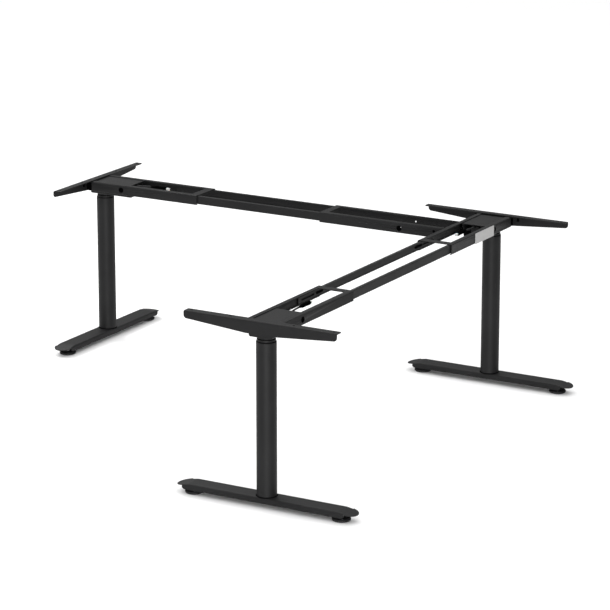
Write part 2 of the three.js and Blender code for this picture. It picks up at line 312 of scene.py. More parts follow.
# ---------------------------------------------------------------- fasteners
def socket_screw(head, height, shank, length, recess):
    """Button-head screw with a hexagon recess; its head stands on Z = 0 and its shank hangs below."""
    body = turned(rounded(
        [(0, height), (head * 0.55, height), (head, height * 0.35), (head, 0), (shank, 0),
         (shank, -length), (0, -length)],
        [0, 1.2, 0.4, 0.2, 0.2, 0.5, 0], 3), 32)
    hole = prism(hexagon(recess), "z", height * 0.25, height + 1)
    return softened(carved(body, hole), 0)


def hex_nut(across_flats, height, bore):
    nut = prism(hexagon(across_flats), "z", 0, height)
    inner, outer = across_flats * 0.5, across_flats * 0.58
    cone = turned([(0, -1), (inner, -1), (outer, height * 0.2), (outer, height * 0.8), (inner, height + 1),
                   (0, height + 1)], 48)
    hole = prism(polygon(24, bore), "z", -1, height + 1)
    return softened(carved(common(nut, cone), hole), 0.15)


def washer(inner, outer, thickness):
    return softened(tube(inner, outer, 0, thickness, 0.25, 40), 0)


def bent(mesh, axis, cuts, lift):
    """Cuts a mesh across one axis at several places, then moves each of its points up by lift(point)."""
    normal = Vector([float(name == axis) for name in "xyz"])
    shape = bmesh.new()
    shape.from_mesh(mesh)
    for cut in cuts:
        bmesh.ops.bisect_plane(shape, geom=shape.verts[:] + shape.edges[:] + shape.faces[:],
                               plane_co=normal * cut, plane_no=normal)
    for vertex in shape.verts:
        vertex.co.z += lift(vertex.co)
    shape.to_mesh(mesh)
    shape.free()
    return mesh


# ---------------------------------------------------------------- foot and glides
FOOT_SHEET = 2.5
FOOT_FOLD = 4.0  # inside radius of the folds between the top and the skirts
NOSE = 34.0  # length past the skirts at each end
NOSE_ROUND = 36.0  # corner radius of the whole foot, seen from above
BEND_START = 58.0  # distance from the tip where the nose begins to bend down
BEND_DROP = 10.0
BEND_SOFTNESS = 6.0
SKIRT_CHAMFER = 8.0  # cut off the lower corners of the skirts
LOCK_NUT = {"flats": 13.0, "height": 4.5, "up": 12.2}
BOSS_HEIGHT = 13.0
GLIDE_STEM = 4.0
GLIDE_OFFSET = leg_span("glide_a")[0].lerp(leg_span("glide_a")[1], 0.5).y


def nose_drop(y, end):
    """How far the top of the foot has bent down at a distance y from the column."""
    past = y - (end - BEND_START)
    slope = BEND_DROP / BEND_START
    if past < -BEND_SOFTNESS:
        return 0.0
    if past > BEND_SOFTNESS:
        return slope * past
    return slope * (past + BEND_SOFTNESS) ** 2 / (4 * BEND_SOFTNESS)


def foot():
    low, high = leg_span("foot")
    half, end, top, bottom = high.x, high.y, high.z, low.z
    skirt_end = end - NOSE
    section = folded([(half, bottom), (half, top), (-half, top), (-half, bottom)], FOOT_SHEET, FOOT_FOLD)
    shape = prism(section, "y", -skirt_end, skirt_end)
    past_straight = skirt_end - (end - NOSE_ROUND)
    nose_half = half - NOSE_ROUND + (NOSE_ROUND ** 2 - past_straight ** 2) ** 0.5
    foot_plan = rounded(rectangle(-half, -end, half, end), NOSE_ROUND, 14)
    plan = [(nose_half, skirt_end), *[p for p in foot_plan if p[1] > skirt_end], (-nose_half, skirt_end)]
    noses = [prism([(x, side * y) for x, y in plan], "z", top - FOOT_SHEET, top) for side in (-1, 1)]
    shape = fused(shape, *noses)
    past, above = skirt_end + SKIRT_CHAMFER + 1, bottom + SKIRT_CHAMFER + 1
    skirt_corners = [
        prism([(side * past, bottom - 1), (side * (skirt_end - SKIRT_CHAMFER), bottom - 1),
               (side * (skirt_end + 1), above), (side * past, above)], "x", -half - 1, half + 1)
        for side in (-1, 1)
    ]
    shape = carved(shape, *skirt_corners)
    ceiling = top - FOOT_SHEET

    def lift(point):
        share = min(1, max(0, (point.z - bottom) / (ceiling - bottom)))
        return -share * nose_drop(abs(point.y), end)

    cuts = [side * (end - BEND_START + BEND_SOFTNESS * k / 4) for side in (-1, 1) for k in range(-4, 5)]
    return softened(bent(shape, "y", cuts, lift), 0.5)


def weld_bead(radius, floor, size, ripples=64):
    """Ring of weld around a tube, with the ripples that the torch leaves."""
    sides, ring = ripples * 5, 7
    vertices, faces = [], []
    for k in range(sides):
        turn = 2 * pi * k / sides
        reach = size * (1 + 0.12 * sin(ripples * turn) + 0.05 * sin(7 * turn))
        for j in range(ring):
            lift = pi / 2 * j / (ring - 1)
            out = radius + reach * cos(lift) ** 1.5
            vertices.append((out * cos(turn), out * sin(turn), floor + reach * sin(lift) ** 1.5))
        vertices.append(((radius - 0.2) * cos(turn), (radius - 0.2) * sin(turn), floor + reach))
        vertices.append(((radius - 0.2) * cos(turn), (radius - 0.2) * sin(turn), floor))
    around = ring + 2
    for k in range(sides):
        following = (k + 1) % sides
        for j in range(around):
            after = (j + 1) % around
            faces.append((k * around + j, k * around + after,
                          following * around + after, following * around + j))
    return softened(solid(vertices, faces), 0)


def glide_pad():
    low, high = leg_span("glide_a")
    radius = (high.x - low.x) / 2
    profile = rounded(
        [(0, 0), (radius - 3, 0), (radius, 2.5), (radius, 7), (radius - 3, 10), (14, 10), (12, 11.5),
         (GLIDE_STEM + 0.4, 11.5), (GLIDE_STEM + 0.4, 6), (0, 6)],
        [0, 1, 1, 1.5, 1.2, 0.8, 0.8, 0.3, 0.3, 0], 4)
    return softened(turned(profile, 72), 0)


def glide_stem():
    top = leg_span("glide_a")[1].z
    return softened(threaded(GLIDE_STEM, 0.5, 1.25, 6.2, top, 24), 0)


# ---------------------------------------------------------------- telescopic column
SPINDLE_LEAD = 10.0
TUBE_WALL = 1.5
COLLAR_PLAY = 0.2
COLLAR_RECESS = 1.0  # how far the ring stays inside the tube below it


def column_tube(part):
    low, high = leg_span(part)
    return softened(tube(high.x - TUBE_WALL, high.x, low.z, high.z, 0.5), 0)


def collar(part, inside, below_inner):
    """Guide ring on top of a tube, with the sleeve that fills the play between two tubes."""
    low, high = leg_span(part)
    outside = high.x - COLLAR_RECESS
    seat = high.z - 2.7
    profile = rounded(
        [(inside, low.z), (below_inner, low.z), (below_inner, seat), (outside, seat), (outside, high.z),
         (inside, high.z)],
        [0.4, 0.4, 0.1, 0.2, 0.3, 0.3], 4)
    return softened(turned(profile), 0)


def mid_tube():
    low, high = leg_span("mid_tube")
    wall, floor, top = TUBE_WALL, low.z + 5, 560
    opening, push_outer, push_inner, bore = 19, 22, 20, 7.6
    outline = rounded(
        [(opening, low.z), (high.x, low.z), (high.x, high.z), (high.x - wall, high.z),
         (high.x - wall, floor), (push_outer, floor), (push_outer, top), (bore, top), (bore, top - 15),
         (push_inner, top - 15), (push_inner, floor), (opening, floor)],
        [0.3, 0.4, 0.4, 0.4, 1, 1, 1, 0.5, 0.5, 0.5, 0.3, 0.3], 3)
    return softened(turned(outline), 0)


def stand_pipe():
    low, high = leg_span("stand_pipe")
    outer, inner, bore, nut = high.x, high.x - 4, 12.6, 15
    outline = rounded(
        [(inner, low.z), (outer, low.z), (outer, high.z), (bore, high.z), (bore, high.z - nut),
         (inner, high.z - nut)],
        0.5, 3)
    return softened(turned(outline, 64), 0)


def upper_spindle():
    low, high = leg_span("upper_spindle")
    return softened(threaded(high.y, 0.9, SPINDLE_LEAD, low.z, high.z), 0)


def lower_spindle():
    low, high = leg_span("lower_spindle")
    return softened(threaded(high.y, 1.1, SPINDLE_LEAD, low.z, high.z, 40, bore=8), 0)


# ---------------------------------------------------------------- drive in the head
def motor_tray():
    low, high = leg_span("motor_tray")
    sheet, fold = 2.0, 4.0
    corners = [(high.y, high.z), (high.y, low.z), (low.y, low.z), (low.y, high.z)]
    section = folded(corners, sheet, fold)
    wall = rounded(corners, [0, fold + sheet, fold + sheet, 0], 6)
    shape = fused(prism(section, "x", low.x, high.x), prism(wall, "x", low.x, low.x + sheet))
    shaft_hole = prism(polygon(48, 14), "z", low.z - 1, low.z + sheet + 1)
    return softened(carved(shape, shaft_hole), 0.5)


def gearbox():
    low, high = leg_span("gearbox")
    chamfer, rim, bore_radius, bore_top = 6.0, 4.0, 8.0, 630.5
    plan = [
        (low.x + chamfer, low.y), (high.x - chamfer, low.y), (high.x, low.y + chamfer),
        (high.x, high.y - chamfer), (high.x - chamfer, high.y), (low.x + chamfer, high.y),
        (low.x, high.y - chamfer), (low.x, low.y + chamfer),
    ]
    inset = [(x * 0.9, y * 0.9) for x, y in plan]
    lid = prism(inset, "z", high.z - rim, high.z)
    case = prism(plan, "z", low.z, high.z - rim - 0.01)
    bore = prism(polygon(32, bore_radius), "z", low.z - 1, bore_top)
    return softened(carved(fused(case, moved(lid, z=-0.02)), bore), 1.2, 3)


MOTOR_CAP = 15.0  # length of the motor that its end cap takes up


def motor_can():
    low, high = leg_span("motor")
    radius, length = high.y, high.x - low.x - MOTOR_CAP
    profile = rounded([(0, 0), (radius * 0.8, 0), (radius, 4), (radius, length), (0, length)],
                      [0, 2, 2, 1.5, 0], 4)
    return moved(softened(turned(profile, 64), 0), low.x, 0, (low.z + high.z) / 2, "x")


def motor_cap():
    low, high = leg_span("motor")
    radius, length = high.y - 1, MOTOR_CAP - 0.3
    profile = rounded([(0, 0), (radius, 0), (radius, length), (0, length)], [0, 0.5, 3, 0], 4)
    cap = turned(profile, 64)
    ribs = []
    for k in range(12):
        rib = prism(rectangle(-1.2, radius - 1.0, 1.2, radius + 2), "z", 3, 10)
        rib.transform(Matrix.Rotation(2 * pi * k / 12, 4, "Z"))
        ribs.append(rib)
    cap = carved(cap, *ribs)
    return moved(softened(cap, 0.3), high.x - length, 0, (low.z + high.z) / 2, "x")


PLUG_BODY = (232.0, 290.0)  # start and end along the beam
PLUG_AXIS = 644.0
PLUG_NECK = 14.0  # length of the tapered neck before the body
PLUG_TAIL = {"radius": 3.4, "axis": 641.0, "straight": 20.0, "cuts": 6}
PLUG_GAP = 0.1  # between the body and its white tip


def plug_body():
    """Moulded connector with grip rings and a shoulder."""
    low, high = leg_span("motor_plug")
    start, end = PLUG_BODY
    radius = (high.y - low.y) / 2
    grip = []
    for k in range(6):
        at = start + 6 + 5 * k
        grip += [(radius - 1.6, at), (radius - 0.4, at + 1), (radius - 0.4, at + 3), (radius - 1.6, at + 4)]
    neck = start - PLUG_NECK
    profile = ([(0, neck), (3.6, neck), (5, start), (radius - 1.6, start + 3)] + grip
               + [(radius - 0.8, start + 38), (radius, start + 40), (radius, end - 1), (radius - 1, end),
                  (0, end)])
    shape = turned(rounded(profile, 0.4, 3), 48)
    return softened(moved(shape, 0, 0, PLUG_AXIS, "x"), 0)


def plug_tail():
    """Short stiff tail that carries the connector, rising a little from the drive tray."""
    low = leg_span("motor_plug")[0]
    start, radius = PLUG_BODY[0], PLUG_TAIL["radius"]
    axis, straight = PLUG_TAIL["axis"], PLUG_TAIL["straight"]
    length = start - PLUG_NECK - 0.2 - low.x
    profile = rounded([(0, 0), (radius, 0), (radius, length), (0, length)], [0, 0.4, 0, 0], 3)
    tail = moved(turned(profile, 32), low.x, 0, axis, "x")

    def lift(point):
        share = min(1, max(0, (point.x - low.x - straight) / (start - low.x - 2 * straight)))
        return (PLUG_AXIS - axis) * (3 * share ** 2 - 2 * share ** 3)

    cuts = range(int(low.x) + PLUG_TAIL["cuts"], int(start - PLUG_NECK) - 1, PLUG_TAIL["cuts"])
    return softened(bent(tail, "x", cuts, lift), 0)


def plug_tip():
    length = leg_span("motor_plug")[1].x - PLUG_BODY[1] - PLUG_GAP
    shell = prism(rounded(rectangle(-4.4, -4.0, 4.4, 4.0), 1.5, 4), "z", 0, length - 3)
    pins = [prism(polygon(16, 0.8), "z", length - 9, length - 2) for _ in range(6)]
    for k, pin in enumerate(pins):
        pin.transform(Matrix.Translation(((k % 3 - 1) * 2.6, (k // 3 - 0.5) * 3.2, 0)))
    return moved(softened(carved(shell, *pins), 0.3), PLUG_BODY[1] + PLUG_GAP, 0, PLUG_AXIS, "x")


# ---------------------------------------------------------------- head frame, cover and bracket
RAIL_SHEET = 2.5
RAIL_FOLD = 1.6
FLANGE = 20.0
LIP = 7.5
STRAP = 32.0  # width of the strap at the mouth of a head
CHANNEL_STRAP = 30.0
CABLE_HOLE = {"along": 121.0, "up": 634.0, "radius": 10.0}
TONGUE_END = -18.0  # the side walls of the head begin here; only the flanges reach the bracket


def c_section(half, bottom, top, flange, lip, sheet, fold, side):
    corners = [(half - lip, bottom), (half, bottom), (half, top), (half - flange, top)]
    return folded([(side * y, z) for y, z in corners], sheet, fold)


def strapped_rails(low, high, strap_plan):
    """Two C sections along X that face each other, with a flat strap across their top flanges."""
    rails = [
        prism(c_section(high.y, low.z, high.z, FLANGE, LIP, RAIL_SHEET, RAIL_FOLD, side), "x", low.x, high.x)
        for side in (-1, 1)
    ]
    strap = prism(strap_plan, "z", high.z - RAIL_SHEET, high.z)
    return fused(rails[0], strap, rails[1])


def cover_plate():
    low, high = leg_span("cover_plate")
    plan = rounded(rectangle(low.x, low.y, high.x, high.y), 3)
    return softened(prism(plan, "z", low.z, high.z), 0.5)


def head_frame():
    low, high = leg_span("head_frame")
    half, bottom, top = high.y, low.z, high.z
    start, reach = high.x - STRAP, half - FLANGE + 0.5
    strap_plan = [(high.x, reach), (high.x, -reach), (start, -reach), (start, reach)]
    shape = strapped_rails(low, high, strap_plan)
    hole = moved(prism(polygon(48, CABLE_HOLE["radius"]), "z", -half - 1, half + 1),
                 CABLE_HOLE["along"], 0, CABLE_HOLE["up"], "y")
    wall_end = prism(rectangle(low.x - 1, bottom - 1, TONGUE_END, top - 4.3), "y", -half - 1, half + 1)
    return softened(carved(shape, hole, wall_end), 0.4)


BRACKET_SHEET = 3.5
BRACKET_FOLD = 2.0
BRACKET_FLANGE = 32.8
WEB_SHALLOW = 631.0  # bottom of the web at its ends
WEB_FLAT = 55.0  # half length of the level middle of the web
WEB_CORNER = 12.0
WEB_CURVE = 60.0  # radius where the level middle of the web meets its slopes
FLANGE_CORNER = 4.0
FLANGE_HOLES = (122.0, 275.0)
FLANGE_HOLE = {"across": 19.4, "size": 9.0}
BRACKET_SCREW = (-31.6, 62.0)


def side_bracket():
    low, high = leg_span("side_bracket")
    outside, half, top, deep = low.x, high.y, high.z, low.z
    section = folded([(outside, deep), (outside, top), (outside + BRACKET_FLANGE, top)],
                     BRACKET_SHEET, BRACKET_FOLD)
    shape = prism(section, "y", -half, half)
    elevation = rounded(
        [(-half, top + 5), (-half, WEB_SHALLOW), (-WEB_FLAT, deep), (WEB_FLAT, deep),
         (half, WEB_SHALLOW), (half, top + 5)],
        [0, WEB_CORNER, WEB_CURVE, WEB_CURVE, WEB_CORNER, 0], 8)
    shape = common(shape, prism(elevation, "x", outside - 5, outside + BRACKET_FLANGE + 5))
    plan = rounded(rectangle(outside - 5, -half, outside + BRACKET_FLANGE, half),
                   [0, FLANGE_CORNER, FLANGE_CORNER, 0], 8)
    shape = common(shape, prism(plan, "z", deep - 5, top + 5))
    across, size = outside + FLANGE_HOLE["across"], FLANGE_HOLE["size"]
    holes = []
    for y in FLANGE_HOLES:
        for side in (-1, 1):
            outline = slot_outline(side * y - size / 2, side * y + size / 2, across, size)
            holes.append(prism([(b, a) for a, b in outline], "z", top - 10, top + 5))
    return softened(carved(shape, *holes), 0.5)


def bracket_screws():
    top = leg_span("side_bracket")[1].z
    x, y = BRACKET_SCREW
    return together(*[
        moved(socket_screw(7.0, 3.3, 3, 12, 4), x, side * y, top - 3.4) for side in (-1, 1)
    ])


def bracket_nuts():
    top = leg_span("head_frame")[1].z
    x, y = BRACKET_SCREW
    return together(*[
        moved(hex_nut(10, 5, 3.1), x, side * y, top - RAIL_SHEET - 5.1) for side in (-1, 1)
    ])


# ---------------------------------------------------------------- beams
MID_SHEET = 2.0
MID_FOLD = 1.0
MID_FLANGE = 14.0
MID_LIP = 4.0
PAD_LENGTH = 28.0
PAD_SETBACK = 6.0
CHANNEL_CABLE_HOLES = ((-1, -254.0, 632.0), (1, -254.0, 632.0))  # wall, distance from the column, height
RAIL_SIGHT_HOLES = {-1: (-246.5, 635.6), 1: (-252.2, 630.0)}  # in the long rails, behind the cable holes
CHANNEL_PLUG = (-107.0, 638.5)
SLOT = {"inset": 20.0, "length": 90.0, "height": 8.0, "up": 632.0}  # in the short rails
CLAMP_BARS = ((452.0, 507.0), (1192.0, 1236.0))  # along the short beam, from the corner column


def mid_rail(node, leg, side):
    low, high = span(node, leg)
    half = max(abs(low.y), abs(high.y))
    shape = prism(c_section(half, low.z, high.z, MID_FLANGE, MID_LIP, MID_SHEET, MID_FOLD, side),
                  "x", low.x, high.x)
    outlines = []
    if node.startswith("short"):
        for start in (low.x + SLOT["inset"], high.x - SLOT["inset"] - SLOT["length"]):
            outlines.append(slot_outline(start, start + SLOT["length"], SLOT["up"], SLOT["height"]))
    else:
        x, z = RAIL_SIGHT_HOLES[side]
        x += corner_column_along_left()
        outlines.append([(x + a, z + b) for a, b in polygon(24, 3.0)])
    holes = [prism(outline, "y", side * (half - 5), side * (half + 5)) for outline in outlines]
    return softened(carved(shape, *holes), 0.35)


def clamp_bars(side):
    """Flat bars inside a short rail, that the clamp screws of the two heads pull against."""
    low, high = span("short_rail_left", "corner")
    outside = max(abs(low.y), abs(high.y))
    bars = [prism(slot_outline(start, end, SLOT["up"], SLOT["height"] - 0.3), "y",
                  side * (outside - MID_SHEET - 3), side * (outside - 0.2))
            for start, end in CLAMP_BARS]
    return softened(together(*bars), 0.4)


def guide_pads(start, wall):
    """Low-friction pads in the mouth of a head or channel, between its walls and the sliding rails."""
    rail = span("long_rail_front", "left")
    half = max(abs(rail[0].y), abs(rail[1].y)) + 0.15
    plan = rounded(rectangle(start, rail[0].z + 4, start + PAD_LENGTH, rail[1].z - 4), 3)
    pads = [prism(plan, "y", side * half, side * (wall - 0.1)) for side in (-1, 1)]
    return softened(together(*pads), 0.5)


def corner_column_along_left():
    """Where the corner column stands along the long beam, in the axes of the left leg."""
    return (PLACES["left"].inverted() @ PLACES["corner"].translation).x


def long_channel():
    low, high = span("long_channel", "left")
    half, reach = high.y, high.y - FLANGE + 0.5
    shape = strapped_rails(low, high, rectangle(low.x, -reach, low.x + CHANNEL_STRAP, reach))
    corner_x = corner_column_along_left()
    holes = [
        moved(prism(polygon(48, CABLE_HOLE["radius"]), "z", side * half - 5, side * half + 5),
              corner_x + x, 0, z, "y")
        for side, x, z in CHANNEL_CABLE_HOLES
    ]
    x, z = CHANNEL_PLUG
    holes.append(moved(prism(polygon(32, 4.5), "z", half - 5, half + 5), corner_x + x, 0, z, "-y"))
    return softened(carved(shape, *holes), 0.4)


END_PLATE = 3.0
END_BOLTS = {"across": 45.0, "up": (624.0, 643.0)}


def channel_end_plate():
    """Plate welded between the walls of the channel, by which it is bolted to the corner head."""
    low, high = span("long_channel", "left")
    half = high.y - RAIL_SHEET - 0.05
    face = rounded(rectangle(-half, low.z, half, high.z - RAIL_SHEET - 0.05), [3, 3, 0, 0])
    return softened(prism(face, "x", high.x - END_PLATE, high.x), 0.5)


BUNG_RECESS = 2.1
BUNG_FLANGE = 1.1
BUNG_WINDOW = (7.0, 4.9, 2.7)  # centre and radius of the window beside the rail's own hole


def bung(window=None):
    """Dished black bung for a cable hole, with a thin flange that covers the edge of the hole.

    The outside of the wall is Z = 0. The bung may have an off-centre window.
    """
    radius = CABLE_HOLE["radius"] - 0.15
    face, back, edge = 0.24, 0.06, radius + BUNG_FLANGE
    profile = rounded([(0, -BUNG_RECESS), (radius - 1, -BUNG_RECESS), (radius - 1, face), (edge, face),
                       (edge, back), (radius, back), (radius, -RAIL_SHEET), (0, -RAIL_SHEET - 0.8)],
                      [0, 0.2, 0.05, 0.05, 0, 0, 0.2, 0], 3)
    shape = turned(profile, 48)
    if window:
        x, y, size = window
        shape = carved(shape, prism([(x + a, y + b) for a, b in polygon(20, size)], "z", -8, 2))
    return softened(shape, 0)


def head_bungs():
    half = leg_span("head_frame")[1].y
    x, z = CABLE_HOLE["along"], CABLE_HOLE["up"]
    return together(*[moved(bung(), x, side * half, z, direction)
                      for side, direction in ((1, "y"), (-1, "-y"))])


def channel_bung():
    """Bung of the cable hole in the front of the long channel."""
    half = span("long_channel", "left")[1].y
    _, x, z = CHANNEL_CABLE_HOLES[0]
    return moved(bung(BUNG_WINDOW), corner_column_along_left() + x, -half, z, "-y")


SPACER_HALF = 66.0
# Clip blocks on the bracket web, in painted-shade black: they paint the dark marks of shade beside the
# flange.
SHADE_CLIP = {"along": 88.0, "half": 4.0, "bottom": 632.0, "top": 647.0}


def bracket_spacer_painted_shade():
    """Black spacer between the bracket's web and the drive tray, with a clip on each side of the head; spacer
    and clips are in the painted-shade black and paint the shade under the bracket's flange as solid black.
    """
    bracket, tray = leg_span("side_bracket"), leg_span("motor_tray")
    web, floor = bracket[0].x + BRACKET_SHEET + 0.2, bracket[0].z + 2
    ceiling = leg_span("cover_plate")[0].z - 0.3
    bar = prism(rounded(rectangle(-SPACER_HALF, floor, SPACER_HALF, ceiling), 2), "x", web, tray[0].x - 0.3)
    cheeks = []
    for side in (-1, 1):
        near, far = sorted((side * (tray[1].y + 1.5), side * SPACER_HALF))
        cheeks.append(prism(rounded(rectangle(near, floor, far, ceiling), 2), "x", web + 1, TONGUE_END - 1.5))
    shade_clips = []
    for at in (-SHADE_CLIP["along"], SHADE_CLIP["along"]):
        outline = rectangle(at - SHADE_CLIP["half"], SHADE_CLIP["bottom"], at + SHADE_CLIP["half"], SHADE_CLIP["top"])
        shade_clips.append(prism(rounded(outline, 1.5), "x", web, web + 3))
    return softened(together(fused(bar, *cheeks), *shade_clips), 0.6)


def channel_plug():
    """Black plug that closes the small hole beside the corner head."""
    half = span("long_channel", "left")[1].y
    x, z = CHANNEL_PLUG
    profile = rounded([(0, -0.8), (3.0, -0.8), (3.6, 0.6), (5.4, 0.3), (5.4, 0.05), (4.3, 0.05),
                       (4.3, -3.2), (0, -3.2)], [0, 0.6, 0.3, 0.1, 0, 0.1, 0.4, 0], 3)
    plug = softened(turned(profile, 40), 0)
    return moved(plug, corner_column_along_left() + x, -half, z, "-y")


def channel_bolts():
    """Bolts through the end plate of the long channel, with their washers."""
    face = span("long_channel", "left")[1].x - END_PLATE
    parts = []
    for y in (-END_BOLTS["across"], END_BOLTS["across"]):
        for z in END_BOLTS["up"]:
            parts.append(moved(washer(4.2, 8, 1.2), face - 1.25, y, z, "x"))
            parts.append(moved(socket_screw(7, 4, 4, 6.5, 5), face - 1.3, y, z, "-x"))
    return together(*parts)


# ---------------------------------------------------------------- name plate
def name_plate():
    low, high = span("name_plate", "corner")
    face = rounded(rectangle(low.x, low.z, high.x, high.z), 2.5, 5)
    return softened(prism(face, "y", low.y, high.y), 0.25)


def plate_rivets():
    low, high = span("name_plate", "corner")
    parts = []
    for x in (low.x + 6, high.x - 6):
        rivet = turned(rounded([(0, 0.9), (1.8, 0.6), (2.3, 0), (0, 0)], [0, 0.4, 0.2, 0], 3), 24)
        parts.append(moved(rivet, x, high.y - 0.85, (low.z + high.z) / 2, "y"))
    return softened(together(*parts), 0)


# ---------------------------------------------------------------- materials
class Nodes:
    """A material's node tree with short calls for the nodes that these finishes share."""

    def __init__(self, name):
        self.material = bpy.data.materials.new(name)
        self.material.use_nodes = True
        self.tree = self.material.node_tree
        self.shader = self.tree.nodes["Principled BSDF"]
        self.place = self.add("ShaderNodeTexCoord").outputs["Object"]

    def add(self, kind, **values):
        node = self.tree.nodes.new(kind)
        for key, value in values.items():
            setattr(node, key, value)
        return node

    def link(self, source, target):
        self.tree.links.new(source, target)

    def noise(self, scale, detail=3.0, stretch=None):
        """Noise with grains of about 1 / scale metres, stretched along an axis if asked."""
        node = self.add("ShaderNodeTexNoise")
        node.inputs["Scale"].default_value = scale
        node.inputs["Detail"].default_value = detail
        place = self.place
        if stretch:
            mapping = self.add("ShaderNodeMapping")
            mapping.inputs["Scale"].default_value = stretch
            self.link(place, mapping.inputs["Vector"])
            place = mapping.outputs["Vector"]
        self.link(place, node.inputs["Vector"])
        return node.outputs["Fac"]

    def spread(self, source, low, high, start=0.3, end=0.7):
        """Maps a noise value onto the range from low to high."""
        node = self.add("ShaderNodeMapRange")
        node.inputs["From Min"].default_value = start
        node.inputs["From Max"].default_value = end
        node.inputs["To Min"].default_value = low
        node.inputs["To Max"].default_value = high
        self.link(source, node.inputs["Value"])
        return node.outputs["Result"]

    def mix(self, factor, first, second):
        node = self.add("ShaderNodeMix", data_type="RGBA")
        node.inputs["A"].default_value = (*first, 1)
        node.inputs["B"].default_value = (*second, 1)
        self.link(factor, node.inputs["Factor"])
        return node.outputs["Result"]

    def bump(self, *layers):
        """Bump from (height, depth in metres) layers, one on top of the other."""
        normal = None
        for height, depth in layers:
            node = self.add("ShaderNodeBump")
            node.inputs["Distance"].default_value = depth
            node.inputs["Strength"].default_value = 1.0
            self.link(height, node.inputs["Height"])
            if normal:
                self.link(normal, node.inputs["Normal"])
            normal = node.outputs["Normal"]
        self.link(normal, self.shader.inputs["Normal"])

    def finish(self, color, roughness, metallic=0.0, **sockets):
        self.link(color, self.shader.inputs["Base Color"])
        self.link(roughness, self.shader.inputs["Roughness"])
        self.shader.inputs["Metallic"].default_value = metallic
        for key, value in sockets.items():
            self.shader.inputs[key.replace("_", " ")].default_value = value
        return self.material


def powder_coat():
    """Black powder coat: fine leathery texture with soft clouds in its colour and gloss."""
    nodes = Nodes("black_powder_coat")
    clouds = nodes.noise(7, 4)
    grain = nodes.noise(900, 2)
    peel = nodes.noise(260, 3)
    nodes.bump((grain, 0.00006), (peel, 0.00010))
    color = nodes.mix(nodes.spread(clouds, 0, 1), (0.0066, 0.0066, 0.0068), (0.0100, 0.0100, 0.0103))
    roughness = nodes.spread(peel, 0.46, 0.56)
    return nodes.finish(color, roughness, Specular_IOR_Level=0.14)


def matte_plastic():
    """Black moulded plastic with a fine spark-eroded grain."""
    nodes = Nodes("black_moulded_plastic")
    grain = nodes.noise(1500, 2)
    flow = nodes.noise(30, 3)
    nodes.bump((grain, 0.00005))
    color = nodes.mix(nodes.spread(flow, 0, 1), (0.005, 0.005, 0.0055), (0.009, 0.009, 0.0095))
    return nodes.finish(color, nodes.spread(grain, 0.5, 0.65), Specular_IOR_Level=0.22)


def painted_shade_black():
    """Black plastic made far darker than real plastic and almost without reflection, as painted shade, so
    that its parts render as black as the shade in gaps and holes; with a dull fine grain.
    """
    nodes = Nodes("black_plastic_painted_shade")
    grain = nodes.noise(1200, 2)
    flow = nodes.noise(40, 3)
    nodes.bump((grain, 0.00004))
    # Painted shade: base colour and reflection are both near zero, darker than real black plastic.
    color = nodes.mix(nodes.spread(flow, 0, 1), (0.0005, 0.0005, 0.0005), (0.0012, 0.0012, 0.0013))
    return nodes.finish(color, nodes.spread(grain, 0.75, 0.9), Specular_IOR_Level=0.01)


def zinc_plate():
    """Bright zinc plating with fine drawing lines and faint blue and yellow tints."""
    nodes = Nodes("zinc_plated_steel")
    tint = nodes.noise(60, 3)
    scuff = nodes.noise(700, 3)
    nodes.bump((scuff, 0.00003))
    color = nodes.mix(nodes.spread(tint, 0, 1), (0.50, 0.51, 0.53), (0.62, 0.61, 0.57))
    return nodes.finish(color, nodes.spread(scuff, 0.24, 0.42), 1.0)


def white_nylon():
    nodes = Nodes("white_nylon")
    flow = nodes.noise(220, 3)
    nodes.bump((flow, 0.00004))
    color = nodes.mix(nodes.spread(flow, 0, 1), (0.60, 0.60, 0.585), (0.70, 0.70, 0.685))
    return nodes.finish(color, nodes.spread(flow, 0.35, 0.5), Subsurface_Weight=0.15)


def cast_alloy():
    """Die-cast alloy with the granular skin of the die."""
    nodes = Nodes("cast_alloy")
    skin = nodes.noise(800, 4)
    patches = nodes.noise(45, 4)
    nodes.bump((skin, 0.00012))
    color = nodes.mix(nodes.spread(patches, 0, 1), (0.30, 0.31, 0.32), (0.42, 0.42, 0.43))
    return nodes.finish(color, nodes.spread(skin, 0.42, 0.62), 1.0)


def satin_plate():
    """Satin aluminium plate, brushed along its length, with slight speckles."""
    nodes = Nodes("satin_aluminium")
    brushing = nodes.noise(120, 2, stretch=(8, 0.3, 8))
    speckle = nodes.noise(350, 2)
    nodes.bump((brushing, 0.00002))
    color = nodes.mix(nodes.spread(speckle, 0, 1), (0.30, 0.297, 0.294), (0.37, 0.367, 0.364))
    return nodes.finish(color, nodes.spread(brushing, 0.36, 0.5), 0.35)


FINISHES = {
    "black_coat": powder_coat(),
    "black_plastic": matte_plastic(),
    "painted_shade_black": painted_shade_black(),
    "zinc_steel": zinc_plate(),
    "nylon": white_nylon(),
    "cast_alloy": cast_alloy(),
    "satin_plate": satin_plate(),
}


# ---------------------------------------------------------------- putting pieces on their bodies
def show(name, mesh, leg, body, finish, *stands_for):
    """Puts a shape drawn in a leg's axes into the row frame, on its body and with its finish."""
    placed = mesh.copy()
    placed.name = name
    placed.transform(PLACES[leg])
    placed.materials.clear()
    placed.materials.append(FINISHES[finish])
    obj = bpy.data.objects.new(name, placed)
    bpy.context.scene.collection.objects.link(obj)
    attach(obj, body)
    if stands_for:
        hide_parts(*stands_for)
    return obj


